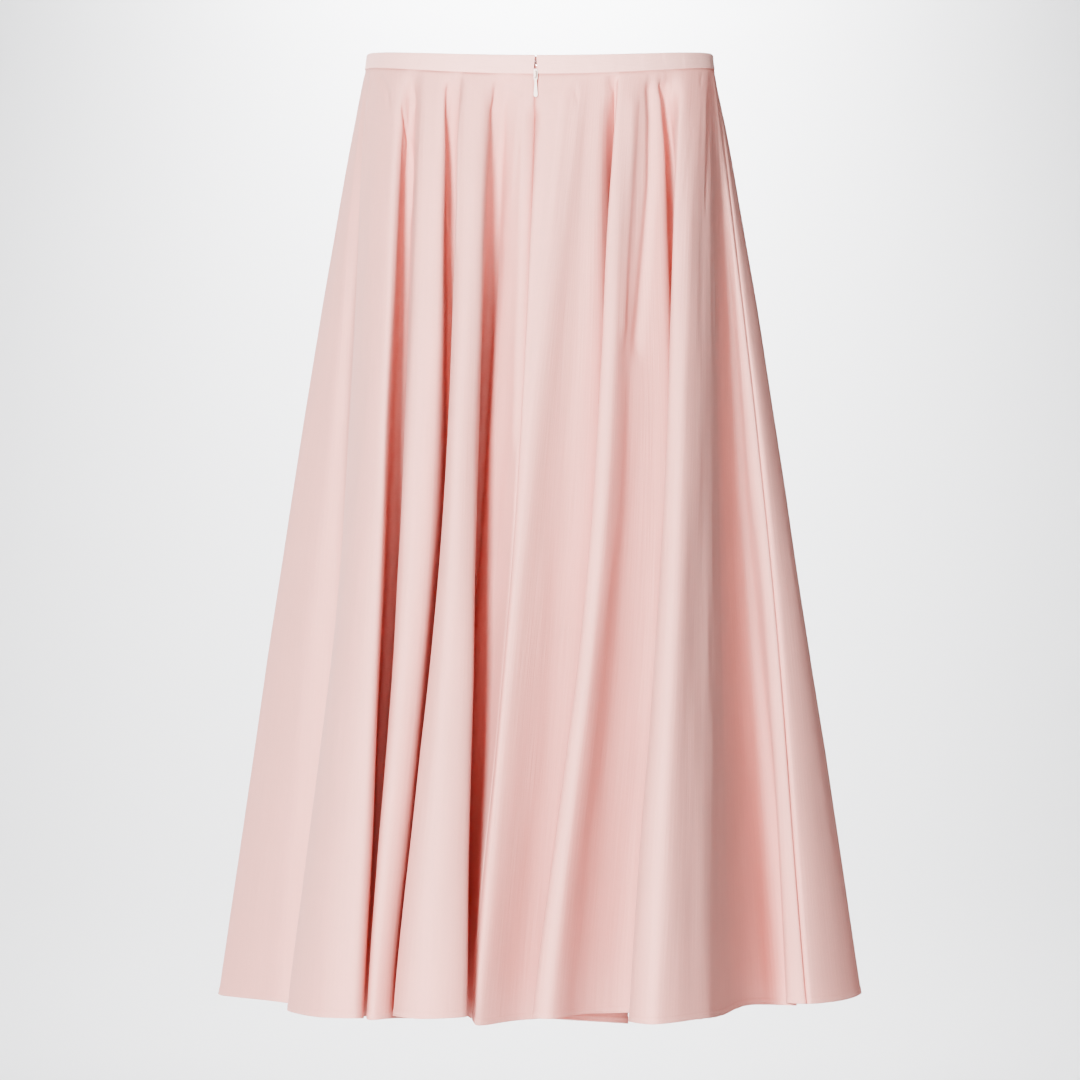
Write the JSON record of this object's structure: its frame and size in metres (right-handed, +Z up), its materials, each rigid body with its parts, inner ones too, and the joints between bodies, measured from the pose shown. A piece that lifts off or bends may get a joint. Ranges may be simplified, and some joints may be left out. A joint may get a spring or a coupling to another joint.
{
  "type": "circle skirt",
  "caption": "Midi circle skirt filled out as worn, with a narrow waistband, deep flared folds and a centre back zip with hook and eye.",
  "frame": {"origin": "centre of the waist opening, level with the top edge of the waistband at the sides", "axes": "+Z up; the centre back with its zip faces -Y and the front faces +Y; +X to the right as seen from behind"},
  "size_m": [0.5372, 0.4642, 0.7957],
  "materials": {
    "poplin": "pale pink cotton poplin with a faint lengthwise rib and a soft sheen",
    "band_poplin": "the same poplin, doubled over interfacing",
    "zip_tape": "woven polyester tape",
    "zip_metal": "cream enamel",
    "wire": "nickel-plated wire"
  },
  "bodies": {
    "skirt": {"back_panel_left": "poplin", "back_panel_right": "poplin", "front_panel": "poplin", "waistband": "band_poplin", "zip_tape": "zip_tape", "zip_slider": "zip_metal", "hook": "wire", "eye": "wire"},
    "zip_pull": {"zip_pull": "zip_metal"}
  },
  "joints": [
    {"name": "zip_pull_swing", "type": "hinge", "parent": "skirt", "child": "zip_pull", "pos_m": [-0.00351, -0.10667, -0.0248], "axis": [-1, 0, 0], "range_deg": [0, 150]}
  ]
}
